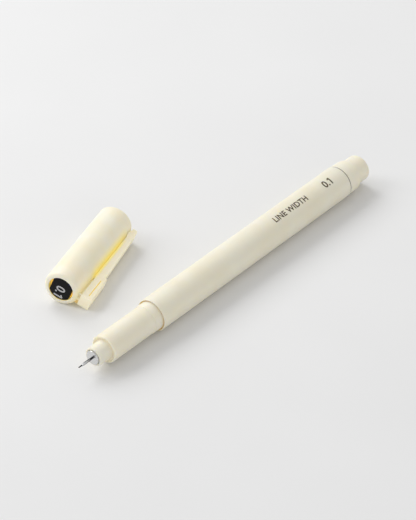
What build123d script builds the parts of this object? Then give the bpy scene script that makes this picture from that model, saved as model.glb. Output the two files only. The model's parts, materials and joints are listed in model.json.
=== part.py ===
"""Capped technical pen, lying uncapped on a table with its cap beside it.

The pen is a fibre-reservoir fineliner: a barrel closed by a front section and a
tail plug, a needle nib fed by a wick from an ink reservoir, and a push-on cap
with a pocket clip, an inner sealing cap and a line-width badge.

Frame: +X runs along the pen towards its tail, +Z is up, and the origin is on the
pen's axis, halfway along the straight barrel. All sizes are in millimetres.
"""

import os
from math import asin, atan2, cos, degrees, hypot, radians, sin

from build123d import *

# --- Barrel -----------------------------------------------------------------------------------
BARREL_RADIUS = 5.4
BARREL_LENGTH = 90.8
BARREL_BORE = 4.3
BARREL_EDGE = 0.35
FRONT_X = -BARREL_LENGTH / 2
TAIL_X = BARREL_LENGTH / 2

# --- Front section and its nose ---------------------------------------------------------------
SECTION_RADIUS = 4.58
SECTION_LENGTH = 21.6
SECTION_EDGE = 0.45
COLLAR_RADIUS = 4.7
COLLAR_LENGTH = 3.0
COLLAR_TAPER = 0.3
SPIGOT_LENGTH = 9.0
SPIGOT_CHAMFER = 0.4
NOSE_BASE_RADIUS = 3.25
NOSE_TIP_RADIUS = 3.1
NOSE_LENGTH = 4.75
NOSE_EDGE = 0.5
MOAT_DEPTH = 0.8
MOAT_RADIUS = 3.95
CHAMBER_RADIUS = 3.3
SHOULDER_X = FRONT_X - SECTION_LENGTH
NOSE_X = SHOULDER_X - NOSE_LENGTH

# --- Nib --------------------------------------------------------------------------------------
HOLDER_RADIUS = 2.35
HOLDER_HEAD = 2.8
HOLDER_DOME = 0.4
HOLDER_DOME_MIDDLE = 0.288
HOLDER_STEM_RADIUS = 1.75
HOLDER_STEM = 5.0
TUBE_RADIUS = 0.41
TUBE_BORE = 0.22
TUBE_CRIMP_RADIUS = 0.28
TUBE_CRIMP = 0.6
TUBE_REACH = 5.0
TUBE_BURIED = 7.0
NIB_RADIUS = 0.21
NIB_POINT_RADIUS = 0.14
NIB_REACH = 6.35
NIB_BURIED = 7.8

# --- Ink supply -------------------------------------------------------------------------------
WICK_RADIUS = 0.9
WICK_IN_RESERVOIR = 6.0
SLEEVE_RADIUS = 1.6
SLEEVE_FLANGE = 1.2
RESERVOIR_RADIUS = 3.7
RESERVOIR_GAP = 1.0
FILM_THICKNESS = 0.15
RESERVOIR_TAIL_GAP = 9.5

# --- Tail plug --------------------------------------------------------------------------------
SEAM_WIDTH = 0.3
SEAM_DEPTH = 0.35
TAIL_COLLAR_LENGTH = 5.5
TAIL_COLLAR_RADIUS = 5.3
TAIL_COLLAR_END_RADIUS = 5.1
TAIL_EDGE = 0.4
POST_RADIUS = 4.35
POST_LENGTH = 5.7
POST_EDGE = 0.7
PLUG_BORE = 3.3
PLUG_BORE_DEPTH = 13.0

# --- Cap --------------------------------------------------------------------------------------
CAP_RADIUS = 5.7
CAP_LENGTH = 38.4
CAP_MOUTH_BORE = 4.8
CAP_MOUTH_CHAMFER = 0.25
CAP_SEAT_BORE = 4.6
CAP_END_WALL = 1.7
CAP_END_HOLE = 4.08
CAP_END_EDGE = 1.1
CAP_MOUTH_EDGE = 0.25
CAP_CENTRE_X = FRONT_X - 7.88
CAP_CENTRE_Y = 29.35
CAP_YAW = 15.6

# --- Inner cap and badge ----------------------------------------------------------------------
INNER_CAP_START = 3.2
INNER_CAP_END = CAP_LENGTH - SECTION_LENGTH
INNER_CAP_NOSE_BORE = 3.35
INNER_CAP_NOSE_DEPTH = 5.4
INNER_CAP_NEEDLE_BORE = 1.5
BADGE_RADIUS = 4.0
BADGE_HALF_FLATS = 3.3
BADGE_FACE = 0.15
BADGE_THICKNESS = 1.55
BADGE_EDGE = 0.15
BADGE_STEM_END = 4.6

# --- Clip -------------------------------------------------------------------------------------
CLIP_WIDTH = 4.3
CLIP_START = 0.5
CLIP_END = 38.0
CLIP_INNER = 6.4
CLIP_ROOT_OUTER = 10.05
LEAF_END = 12.3
LEAF_END_OUTER = 9.75
ARM_ROOT_OUTER = 8.95
ARM_TIP_OUTER = 7.85
SLOT_START = 2.0
SLOT_END = 10.4
SLOT_INNER = 8.2
SLOT_WIDTH = 0.45
NUB_CENTRE = 35.0
NUB_HALF_LENGTH = 1.8
NUB_HEIGHT = 0.55
CLIP_EDGE = 0.25
TIP_EDGE = 0.7
WEB_GAP = 0.03
WEB_END = 10.3
WEB_HALF_WIDTH = 0.55
WEB_START = 0.6
WEB_BURIED = 0.5
ROOT_WALL_LENGTH = 0.5
ROOT_WALL_HALF_WIDTH = 2.0
ROOT_WALL_BURIED = 0.9

# The cap lies on its own wall and on the lower outer corner of the clip's root.
clip_corner_reach = hypot(CLIP_ROOT_OUTER, CLIP_WIDTH / 2)
clip_corner_angle = degrees(atan2(CLIP_WIDTH / 2, CLIP_ROOT_OUTER))
CLIP_DROP = degrees(asin(CAP_RADIUS / clip_corner_reach)) - clip_corner_angle

# How near a circular edge must lie to a shoulder to be picked as its rim.
RIM_SLACK = 0.01

# --- Planes of the cap ------------------------------------------------------------------------
yaw = radians(CAP_YAW)
drop = radians(CLIP_DROP)
cap_centre = Vector(CAP_CENTRE_X, CAP_CENTRE_Y, CAP_RADIUS - BARREL_RADIUS)
cap_direction = Vector(cos(yaw), sin(yaw), 0)
clip_direction = Vector(sin(yaw) * cos(drop), -cos(yaw) * cos(drop), -sin(drop))
cap_plane = Plane(origin=cap_centre, x_dir=cap_direction, z_dir=cap_direction.cross(clip_direction))
cap_end_plane = Plane(origin=cap_centre, x_dir=clip_direction, z_dir=cap_direction)
cap_axis = Axis(origin=cap_centre, direction=cap_direction)


# --- Barrel: a straight tube ------------------------------------------------------------------
with BuildPart() as barrel:
    with BuildSketch(Plane.YZ.offset(FRONT_X)):
        Circle(BARREL_RADIUS)
        Circle(BARREL_BORE, mode=Mode.SUBTRACT)
    extrude(amount=BARREL_LENGTH)
    outer_rims = barrel.edges().filter_by(GeomType.CIRCLE).group_by(SortBy.RADIUS)[-1]
    fillet(outer_rims.sort_by(Axis.X)[0], BARREL_EDGE)

# --- Front section: grip, snap collar, nose and barrel spigot ---------------------------------
holder_seat_x = NOSE_X + HOLDER_HEAD
stem_end_x = holder_seat_x + HOLDER_STEM
section_rear_x = FRONT_X + SPIGOT_LENGTH
with BuildPart() as front_section:
    with BuildSketch(Plane.XZ):
        with BuildLine():
            Polyline(
                (NOSE_X, HOLDER_RADIUS),
                (NOSE_X, NOSE_TIP_RADIUS),
                (SHOULDER_X + MOAT_DEPTH, NOSE_BASE_RADIUS),
                (SHOULDER_X + MOAT_DEPTH, MOAT_RADIUS),
                (SHOULDER_X, MOAT_RADIUS),
                (SHOULDER_X, SECTION_RADIUS),
                (FRONT_X - COLLAR_LENGTH - COLLAR_TAPER, SECTION_RADIUS),
                (FRONT_X - COLLAR_LENGTH, COLLAR_RADIUS),
                (FRONT_X, COLLAR_RADIUS),
                (FRONT_X, BARREL_BORE),
                (section_rear_x - SPIGOT_CHAMFER, BARREL_BORE),
                (section_rear_x, BARREL_BORE - SPIGOT_CHAMFER),
                (section_rear_x, CHAMBER_RADIUS),
                (stem_end_x, CHAMBER_RADIUS),
                (stem_end_x, HOLDER_STEM_RADIUS),
                (holder_seat_x, HOLDER_STEM_RADIUS),
                (holder_seat_x, HOLDER_RADIUS),
                close=True,
            )
        make_face()
    revolve(axis=Axis.X)
    rims = front_section.edges().filter_by(GeomType.CIRCLE)
    shoulder_rims = rims.filter_by_position(Axis.X, SHOULDER_X - RIM_SLACK, SHOULDER_X + RIM_SLACK)
    fillet(shoulder_rims.sort_by(SortBy.RADIUS)[-1], SECTION_EDGE)
    rims = front_section.edges().filter_by(GeomType.CIRCLE)
    nose_rims = rims.filter_by_position(Axis.X, NOSE_X - RIM_SLACK, NOSE_X + RIM_SLACK)
    fillet(nose_rims.sort_by(SortBy.RADIUS)[-1], NOSE_EDGE)

# --- Nib holder: the turned metal bush in the nose --------------------------------------------
with BuildPart() as nib_holder:
    with BuildSketch(Plane.XZ):
        with BuildLine():
            ThreePointArc(
                (NOSE_X - HOLDER_DOME, TUBE_RADIUS),
                (NOSE_X - HOLDER_DOME_MIDDLE, HOLDER_RADIUS / 2),
                (NOSE_X, HOLDER_RADIUS),
            )
            Polyline(
                (NOSE_X, HOLDER_RADIUS),
                (holder_seat_x, HOLDER_RADIUS),
                (holder_seat_x, HOLDER_STEM_RADIUS),
                (stem_end_x, HOLDER_STEM_RADIUS),
                (stem_end_x, TUBE_RADIUS),
                (NOSE_X - HOLDER_DOME, TUBE_RADIUS),
            )
        make_face()
    revolve(axis=Axis.X)

# --- Needle tube: stainless tube, crimped round the nib ---------------------------------------
tube_front_x = NOSE_X - TUBE_REACH
tube_rear_x = NOSE_X + TUBE_BURIED
with BuildPart() as needle_tube:
    with BuildSketch(Plane.XZ):
        with BuildLine():
            Polyline(
                (tube_front_x, TUBE_BORE),
                (tube_front_x, TUBE_CRIMP_RADIUS),
                (tube_front_x + TUBE_CRIMP, TUBE_RADIUS),
                (tube_rear_x, TUBE_RADIUS),
                (tube_rear_x, TUBE_BORE),
                close=True,
            )
        make_face()
    revolve(axis=Axis.X)

# --- Nib: the drawing point and its thin rod --------------------------------------------------
nib_rear_x = NOSE_X + NIB_BURIED
with BuildPart() as nib:
    with BuildSketch(Plane.XZ):
        with BuildLine():
            Polyline(
                (NOSE_X - NIB_REACH, 0),
                (NOSE_X - NIB_REACH, NIB_POINT_RADIUS),
                (tube_front_x, NIB_RADIUS),
                (nib_rear_x, NIB_RADIUS),
                (nib_rear_x, 0),
                close=True,
            )
        make_face()
    revolve(axis=Axis.X)

# --- Feed wick: porous rod from the nib into the reservoir ------------------------------------
reservoir_front_x = section_rear_x + RESERVOIR_GAP
wick_rear_x = reservoir_front_x + WICK_IN_RESERVOIR
with BuildPart() as feed_wick:
    with BuildSketch(Plane.YZ.offset(nib_rear_x)):
        Circle(WICK_RADIUS)
    extrude(amount=wick_rear_x - nib_rear_x)

# --- Wick sleeve: spool that centres the wick in the section ----------------------------------
with BuildPart() as wick_sleeve:
    with BuildSketch(Plane.XZ):
        with BuildLine():
            Polyline(
                (stem_end_x, WICK_RADIUS),
                (stem_end_x, CHAMBER_RADIUS),
                (stem_end_x + SLEEVE_FLANGE, CHAMBER_RADIUS),
                (stem_end_x + SLEEVE_FLANGE, SLEEVE_RADIUS),
                (section_rear_x - SLEEVE_FLANGE, SLEEVE_RADIUS),
                (section_rear_x - SLEEVE_FLANGE, CHAMBER_RADIUS),
                (section_rear_x, CHAMBER_RADIUS),
                (section_rear_x, WICK_RADIUS),
                close=True,
            )
        make_face()
    revolve(axis=Axis.X)

# --- Ink reservoir: fibre rod, with the wick pushed into its front ----------------------------
reservoir_rear_x = TAIL_X - RESERVOIR_TAIL_GAP
reservoir_length = reservoir_rear_x - reservoir_front_x
with BuildPart() as ink_reservoir:
    with BuildSketch(Plane.YZ.offset(reservoir_front_x)):
        Circle(RESERVOIR_RADIUS)
    extrude(amount=reservoir_length)
    with BuildSketch(Plane.YZ.offset(reservoir_front_x)):
        Circle(WICK_RADIUS)
    extrude(amount=WICK_IN_RESERVOIR, mode=Mode.SUBTRACT)

# --- Reservoir film: thin plastic wrap round the fibre rod ------------------------------------
with BuildPart() as reservoir_film:
    with BuildSketch(Plane.YZ.offset(reservoir_front_x)):
        Circle(RESERVOIR_RADIUS + FILM_THICKNESS)
        Circle(RESERVOIR_RADIUS, mode=Mode.SUBTRACT)
    extrude(amount=reservoir_length)

# --- Tail plug: closes the barrel, with a post that takes the cap -----------------------------
plug_front_x = TAIL_X - SPIGOT_LENGTH
seam_end_x = TAIL_X + SEAM_WIDTH
post_start_x = TAIL_X + TAIL_COLLAR_LENGTH
post_end_x = post_start_x + POST_LENGTH
with BuildPart() as tail_plug:
    with BuildSketch(Plane.XZ):
        with BuildLine():
            Polyline(
                (plug_front_x, PLUG_BORE),
                (plug_front_x, BARREL_BORE - SPIGOT_CHAMFER),
                (plug_front_x + SPIGOT_CHAMFER, BARREL_BORE),
                (TAIL_X, BARREL_BORE),
                (TAIL_X, BARREL_RADIUS - SEAM_DEPTH),
                (seam_end_x, BARREL_RADIUS - SEAM_DEPTH),
                (seam_end_x, TAIL_COLLAR_RADIUS),
                (post_start_x, TAIL_COLLAR_END_RADIUS),
                (post_start_x, POST_RADIUS),
                (post_end_x, POST_RADIUS),
                (post_end_x, 0),
                (plug_front_x + PLUG_BORE_DEPTH, 0),
                (plug_front_x + PLUG_BORE_DEPTH, PLUG_BORE),
                close=True,
            )
        make_face()
    revolve(axis=Axis.X)
    rims = tail_plug.edges().filter_by(GeomType.CIRCLE)
    fillet(rims.sort_by(Axis.X)[-1], POST_EDGE)
    rims = tail_plug.edges().filter_by(GeomType.CIRCLE)
    collar_rims = rims.filter_by_position(Axis.X, post_start_x - RIM_SLACK, post_start_x + RIM_SLACK)
    fillet(collar_rims.sort_by(SortBy.RADIUS)[-1], TAIL_EDGE)

# --- Cap shell: open at the mouth, with a round hole at the other end and a clip web ----------
seat_end = INNER_CAP_END
with BuildPart() as cap_shell:
    with BuildSketch(cap_plane):
        with BuildLine():
            Polyline(
                (0, CAP_END_HOLE),
                (0, CAP_RADIUS),
                (CAP_LENGTH, CAP_RADIUS),
                (CAP_LENGTH, CAP_MOUTH_BORE + CAP_MOUTH_CHAMFER),
                (CAP_LENGTH - CAP_MOUTH_CHAMFER, CAP_MOUTH_BORE),
                (seat_end, CAP_MOUTH_BORE),
                (seat_end, CAP_SEAT_BORE),
                (CAP_END_WALL, CAP_SEAT_BORE),
                (CAP_END_WALL, CAP_END_HOLE),
                close=True,
            )
        make_face()
    revolve(axis=cap_axis)
    rims = cap_shell.edges().filter_by(GeomType.CIRCLE).group_by(SortBy.RADIUS)[-1].sort_by(cap_axis)
    fillet(rims[0], CAP_END_EDGE)
    rims = cap_shell.edges().filter_by(GeomType.CIRCLE).group_by(SortBy.RADIUS)[-1].sort_by(cap_axis)
    fillet(rims[-1], CAP_MOUTH_EDGE)
    with BuildSketch(cap_plane):
        with Locations((WEB_START, CAP_RADIUS - WEB_BURIED)):
            Rectangle(
                WEB_END - WEB_START,
                CLIP_INNER - WEB_GAP - CAP_RADIUS + WEB_BURIED,
                align=(Align.MIN, Align.MIN),
            )
    extrude(amount=WEB_HALF_WIDTH, both=True)
    with BuildSketch(cap_plane):
        with Locations((WEB_START, CAP_RADIUS - ROOT_WALL_BURIED)):
            Rectangle(
                ROOT_WALL_LENGTH,
                CLIP_INNER - WEB_GAP - CAP_RADIUS + ROOT_WALL_BURIED,
                align=(Align.MIN, Align.MIN),
            )
    extrude(amount=ROOT_WALL_HALF_WIDTH, both=True)

# --- Inner cap: seals round the nose and keeps the needle clear -------------------------------
needle_bore_end = INNER_CAP_END - INNER_CAP_NOSE_DEPTH
with BuildPart() as inner_cap:
    with BuildSketch(cap_plane):
        with BuildLine():
            Polyline(
                (INNER_CAP_START, INNER_CAP_NEEDLE_BORE),
                (INNER_CAP_START, CAP_SEAT_BORE),
                (INNER_CAP_END, CAP_SEAT_BORE),
                (INNER_CAP_END, INNER_CAP_NOSE_BORE),
                (needle_bore_end, INNER_CAP_NOSE_BORE),
                (needle_bore_end, INNER_CAP_NEEDLE_BORE),
                close=True,
            )
        make_face()
    revolve(axis=cap_axis)

# --- Badge plug: line-width badge with two flats that leave vents -----------------------------
head_end = BADGE_FACE + BADGE_THICKNESS
with BuildPart() as badge_plug:
    with BuildSketch(cap_plane):
        with BuildLine():
            Polyline(
                (BADGE_FACE, 0),
                (BADGE_FACE, BADGE_RADIUS - BADGE_EDGE),
                (BADGE_FACE + BADGE_EDGE, BADGE_RADIUS),
                (head_end, BADGE_RADIUS),
                (head_end, INNER_CAP_NEEDLE_BORE),
                (BADGE_STEM_END, INNER_CAP_NEEDLE_BORE),
                (BADGE_STEM_END, 0),
                close=True,
            )
        make_face()
    revolve(axis=cap_axis)
    with BuildSketch(cap_end_plane):
        for side in (-1, 1):
            with Locations((side * (BADGE_HALF_FLATS + BADGE_RADIUS), 0)):
                Rectangle(2 * BADGE_RADIUS, 2 * BADGE_RADIUS)
    extrude(amount=head_end, mode=Mode.SUBTRACT)

# --- Clip: slotted root, spring arm and a nub that grips the cloth ----------------------------
with BuildPart() as clip:
    with BuildSketch(cap_plane):
        with BuildLine():
            Polyline(
                (CLIP_START, CLIP_INNER),
                (CLIP_START, CLIP_ROOT_OUTER),
                (LEAF_END, LEAF_END_OUTER),
                (LEAF_END, ARM_ROOT_OUTER),
                (CLIP_END, ARM_TIP_OUTER),
                (CLIP_END, CLIP_INNER),
                (NUB_CENTRE + NUB_HALF_LENGTH, CLIP_INNER),
            )
            ThreePointArc(
                (NUB_CENTRE + NUB_HALF_LENGTH, CLIP_INNER),
                (NUB_CENTRE, CLIP_INNER - NUB_HEIGHT),
                (NUB_CENTRE - NUB_HALF_LENGTH, CLIP_INNER),
            )
            Line((NUB_CENTRE - NUB_HALF_LENGTH, CLIP_INNER), (CLIP_START, CLIP_INNER))
        make_face()
        with BuildLine():
            Polyline(
                (SLOT_START, SLOT_INNER),
                (SLOT_END, SLOT_INNER),
                (SLOT_END, SLOT_INNER + SLOT_WIDTH),
                (SLOT_START, SLOT_INNER + SLOT_WIDTH),
                close=True,
            )
        make_face(mode=Mode.SUBTRACT)
    extrude(amount=CLIP_WIDTH / 2, both=True)
    tip_edges = clip.faces().sort_by(cap_axis)[-1].edges().filter_by(GeomType.LINE)
    outer_tip = tip_edges.sort_by(Axis(cap_centre, clip_direction))[-1]
    fillet(outer_tip, TIP_EDGE)
    side_faces = clip.faces().filter_by(cap_plane).sort_by(Axis(cap_centre, cap_plane.z_dir))
    side_rims = [face.outer_wire().edges() for face in (side_faces[0], side_faces[-1])]
    fillet(side_rims[0] + side_rims[1], CLIP_EDGE)

pieces = {
    "barrel": barrel,
    "front_section": front_section,
    "nib_holder": nib_holder,
    "needle_tube": needle_tube,
    "nib": nib,
    "feed_wick": feed_wick,
    "wick_sleeve": wick_sleeve,
    "ink_reservoir": ink_reservoir,
    "reservoir_film": reservoir_film,
    "tail_plug": tail_plug,
    "cap_shell": cap_shell,
    "inner_cap": inner_cap,
    "badge_plug": badge_plug,
    "clip": clip,
}

os.makedirs("parts", exist_ok=True)
for name, piece in pieces.items():
    piece.part.label = name
    export_step(piece.part, f"parts/{name}.step")
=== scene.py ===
"""Looks for a fibre-reservoir technical pen that lies on a pale table beside its clip cap.

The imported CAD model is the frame. The visible shells are turned and cut here with finer
edges than the CAD solids, and every piece gets a procedural finish. Lengths in the
dataclasses are millimetres; meshes are in metres, in the CAD model's own frame.
"""

import json
import logging
import math
from dataclasses import dataclass, field, replace
from enum import Enum

import bmesh
import bpy
from mathutils import Matrix, Vector


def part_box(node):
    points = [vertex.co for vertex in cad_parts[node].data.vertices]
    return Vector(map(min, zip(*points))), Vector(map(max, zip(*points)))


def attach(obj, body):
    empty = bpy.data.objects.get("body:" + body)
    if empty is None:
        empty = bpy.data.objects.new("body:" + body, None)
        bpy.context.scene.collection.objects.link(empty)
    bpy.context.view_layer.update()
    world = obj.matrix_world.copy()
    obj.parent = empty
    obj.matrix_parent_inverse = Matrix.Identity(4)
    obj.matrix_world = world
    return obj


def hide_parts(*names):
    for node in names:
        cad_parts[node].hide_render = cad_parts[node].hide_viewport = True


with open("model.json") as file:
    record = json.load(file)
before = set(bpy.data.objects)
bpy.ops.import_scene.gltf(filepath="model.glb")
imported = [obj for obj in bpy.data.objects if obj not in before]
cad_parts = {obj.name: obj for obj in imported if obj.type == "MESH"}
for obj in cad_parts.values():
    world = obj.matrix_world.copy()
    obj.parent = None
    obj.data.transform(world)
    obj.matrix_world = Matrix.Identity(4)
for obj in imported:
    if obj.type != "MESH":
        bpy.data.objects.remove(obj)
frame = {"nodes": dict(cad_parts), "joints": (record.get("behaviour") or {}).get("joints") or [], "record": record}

log = logging.getLogger("technical_pen")

Colour = tuple[float, float, float, float]
Pair = tuple[float, float]
Triple = tuple[float, float, float]

MM = 0.001
ALONG, ACROSS = 0, 1
TURN_STEPS = 128
MERGE_DISTANCE = 1e-7
SHARP_DEG = 32.0
# How far, in millimetres, a face may stand past a limit and still be picked out by it.
SLACK = 0.02
# A face looks along an axis when its normal has more than this share along it.
FACING = 0.5
# A mix node's colour sockets share their names with others, so they go by number.
MIX_FACTOR, MIX_FIRST, MIX_SECOND, MIX_COLOUR = 0, 6, 7, 2
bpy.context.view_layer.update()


# --------------------------------------------------------------------------- helpers


def span(node: str, axis: int) -> Pair:
    """Reads where a CAD node starts and ends along one axis.

    Args:
        node: The node's name.
        axis: ALONG the pen or ACROSS it.

    Returns:
        Its lowest and highest place, in millimetres.
    """
    low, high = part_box(node)
    return low[axis] / MM, high[axis] / MM


def srgb(code: str) -> Colour:
    """Turns a colour written as sRGB hex into linear light.

    Args:
        code: Six hex digits with a leading hash, such as "#f4efdc".

    Returns:
        Linear red, green and blue, with an alpha of one.
    """
    channels = [int(code[i : i + 2], 16) / 255 for i in (1, 3, 5)]
    linear = [c / 12.92 if c <= 0.04045 else ((c + 0.055) / 1.055) ** 2.4 for c in channels]
    return (*linear, 1.0)


class Blend(Enum):
    """How a gradient goes from its first colour to its last."""

    SMOOTH = "EASE"
    STRAIGHT = "LINEAR"


@dataclass(frozen=True)
class Gradient:
    """Two linear colours and where each of them stands between 0 and 1."""

    start: float
    first: Colour
    end: float
    last: Colour
    blend: Blend = Blend.STRAIGHT


def add_node(
    tree: bpy.types.NodeTree,
    kind: str,
    settings: dict[str, object] | None = None,
    inputs: dict[str | int, object] | None = None,
    gradient: Gradient | None = None,
) -> bpy.types.Node:
    """Adds one shader node with its settings, values and links.

    Args:
        tree: The node tree that gets the node.
        kind: Blender's name for the node type.
        settings: Attributes of the node itself.
        inputs: Values for its inputs; an output socket is linked instead.
        gradient: The colours of a colour ramp.

    Returns:
        The new node.
    """
    node = tree.nodes.new(kind)
    for name, value in (settings or {}).items():
        setattr(node, name, value)
    for name, value in (inputs or {}).items():
        socket = node.inputs[name]
        if isinstance(value, bpy.types.NodeSocket):
            tree.links.new(value, socket)
        else:
            socket.default_value = value
    if gradient:
        ramp = node.color_ramp
        ramp.interpolation = gradient.blend.value
        first, last = ramp.elements
        first.position, first.color = gradient.start, gradient.first
        last.position, last.color = gradient.end, gradient.last
    return node


# --------------------------------------------------------------------------- finishes


@dataclass(frozen=True)
class PaintedGlowZone:
    """A block of a piece's own frame with a painted amber glow: colour and emission that stand in for light
    soaking through thin walls.

    Each pair is where the tint starts and where it is full, in millimetres. The tint
    never falls below `least` ahead of its start along the piece.
    """

    place: Matrix
    along_start: Pair
    along_end: Pair
    out: Pair
    # The painted glow's colour, and its emission strength where the zone is full.
    colour: str = "#eadd94"
    painted_glow: float = 0.18
    least: float = 0.0

    def mask(self, tree: bpy.types.NodeTree, place: bpy.types.NodeSocket) -> bpy.types.NodeSocket:
        """Builds the zone's strength from 0 to 1.

        Args:
            tree: The node tree that gets the nodes.
            place: Object coordinates.

        Returns:
            The strength's socket.
        """
        local = add_node(
            tree,
            "ShaderNodeMapping",
            {"vector_type": "TEXTURE"},
            {
                "Vector": place,
                "Location": self.place.to_translation(),
                "Rotation": self.place.to_euler(),
            },
        )
        axes = add_node(tree, "ShaderNodeSeparateXYZ", inputs={"Vector": local.outputs["Vector"]})
        limits = (
            ("X", self.along_start, self.least),
            ("X", self.along_end, 0.0),
            ("Y", self.out, 0.0),
        )
        parts = []
        for axis, (start, full), least in limits:
            step = add_node(
                tree,
                "ShaderNodeMapRange",
                {"interpolation_type": "SMOOTHSTEP"},
                {
                    "Value": axes.outputs[axis],
                    "From Min": start * MM,
                    "From Max": full * MM,
                    "To Min": least,
                },
            )
            parts.append(step.outputs["Result"])
        total = parts[0]
        for part in parts[1:]:
            product = add_node(
                tree, "ShaderNodeMath", {"operation": "MULTIPLY"}, {0: total, 1: part}
            )
            total = product.outputs["Value"]
        return total


@dataclass(frozen=True)
class Finish:
    """What every finish shares: a name, a main colour, and patterns on Object coordinates."""

    name: str
    colour: str

    def build(self) -> bpy.types.Material:
        """Makes the material.

        Returns:
            The finished material.
        """
        material = bpy.data.materials.new(self.name)
        material.use_nodes = True
        tree = material.node_tree
        tree.nodes.clear()
        place = add_node(tree, "ShaderNodeTexCoord").outputs["Object"]
        shader = self.shade(tree, place)
        add_node(tree, "ShaderNodeOutputMaterial", inputs={"Surface": shader.outputs["BSDF"]})
        return material

    def shade(self, tree: bpy.types.NodeTree, place: bpy.types.NodeSocket) -> bpy.types.Node:
        """Builds the finish's own nodes.

        Args:
            tree: The node tree that gets the nodes.
            place: Object coordinates.

        Returns:
            The shader.
        """
        raise NotImplementedError


@dataclass(frozen=True)
class MouldedPlastic(Finish):
    """Injection-moulded plastic, satin from a fine spark-eroded mould.

    The eye sees a soft sheen, light that soaks a little way in, and faint flow
    waves that bend the highlights. A zone or a glow adds painted glow, an amber
    colour and emission that stand in for light passing through thin walls and
    gaps. The grain is drawn coarser than a real mould's 0.02 mm, so that it shows
    close up.
    """

    blush: str
    roughness: float = 0.42
    smoother: float = 0.05
    rougher: float = 0.07
    grain_mm: float = 0.16
    wave_mm: float = 9.0
    scatter: float = 0.5
    scatter_depth_mm: float = 1.2
    scatter_tint: Triple = (1.0, 0.86, 0.52)
    ior: float = 1.49
    specular: float = 0.6
    zone: PaintedGlowZone | None = None
    # Strength of a painted glow (emission) over the whole piece.
    painted_glow: float = 0.0

    def shade(self, tree: bpy.types.NodeTree, place: bpy.types.NodeSocket) -> bpy.types.Node:
        """Builds the plastic's nodes.

        Args:
            tree: The node tree that gets the nodes.
            place: Object coordinates.

        Returns:
            The shader.
        """
        waves = add_node(
            tree,
            "ShaderNodeTexNoise",
            inputs={
                "Vector": place,
                "Scale": 1 / (self.wave_mm * MM),
                "Detail": 3.0,
                "Roughness": 0.55,
            },
        ).outputs["Fac"]
        grain = add_node(
            tree,
            "ShaderNodeTexNoise",
            inputs={
                "Vector": place,
                "Scale": 1 / (self.grain_mm * MM),
                "Detail": 2.0,
                "Roughness": 0.6,
            },
        ).outputs["Fac"]
        tint = add_node(
            tree,
            "ShaderNodeValToRGB",
            inputs={"Fac": waves},
            gradient=Gradient(0.3, srgb(self.colour), 0.75, srgb(self.blush), Blend.SMOOTH),
        ).outputs["Color"]
        sheen = add_node(
            tree,
            "ShaderNodeMapRange",
            inputs={
                "Value": grain,
                "From Min": 0.25,
                "From Max": 0.75,
                "To Min": self.roughness - self.smoother,
                "To Max": self.roughness + self.rougher,
            },
        )
        swell = add_node(
            tree,
            "ShaderNodeBump",
            inputs={"Height": waves, "Strength": 0.03, "Distance": 0.1 * MM},
        )
        texture = add_node(
            tree,
            "ShaderNodeBump",
            inputs={
                "Height": grain,
                "Strength": 0.12,
                "Distance": 0.02 * MM,
                "Normal": swell.outputs["Normal"],
            },
        )
        shader = add_node(
            tree,
            "ShaderNodeBsdfPrincipled",
            inputs={
                "Base Color": tint,
                "Roughness": sheen.outputs["Result"],
                "IOR": self.ior,
                "Specular IOR Level": self.specular,
                "Subsurface Weight": self.scatter,
                "Subsurface Radius": self.scatter_tint,
                "Subsurface Scale": self.scatter_depth_mm * MM,
                "Normal": texture.outputs["Normal"],
            },
        )
        # Painted glow: inside the zone the colour turns amber and the surface emits light, standing in for light
        # that passes through thin walls.
        if self.zone:
            mask = self.zone.mask(tree, place)
            painted_glow_tint = add_node(
                tree,
                "ShaderNodeMix",
                {"data_type": "RGBA"},
                {MIX_FACTOR: mask, MIX_FIRST: tint, MIX_SECOND: srgb(self.zone.colour)},
            ).outputs[MIX_COLOUR]
            strength = add_node(
                tree,
                "ShaderNodeMath",
                {"operation": "MULTIPLY_ADD"},
                {0: mask, 1: self.zone.painted_glow, 2: self.painted_glow},
            )
            tree.links.new(painted_glow_tint, shader.inputs["Base Color"])
            tree.links.new(painted_glow_tint, shader.inputs["Emission Color"])
            tree.links.new(strength.outputs["Value"], shader.inputs["Emission Strength"])
        # Painted glow: a faint emission in the piece's own colour stands in for light passing through its thin
        # walls.
        elif self.painted_glow:
            tree.links.new(tint, shader.inputs["Emission Color"])
            shader.inputs["Emission Strength"].default_value = self.painted_glow
        return shader


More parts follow.
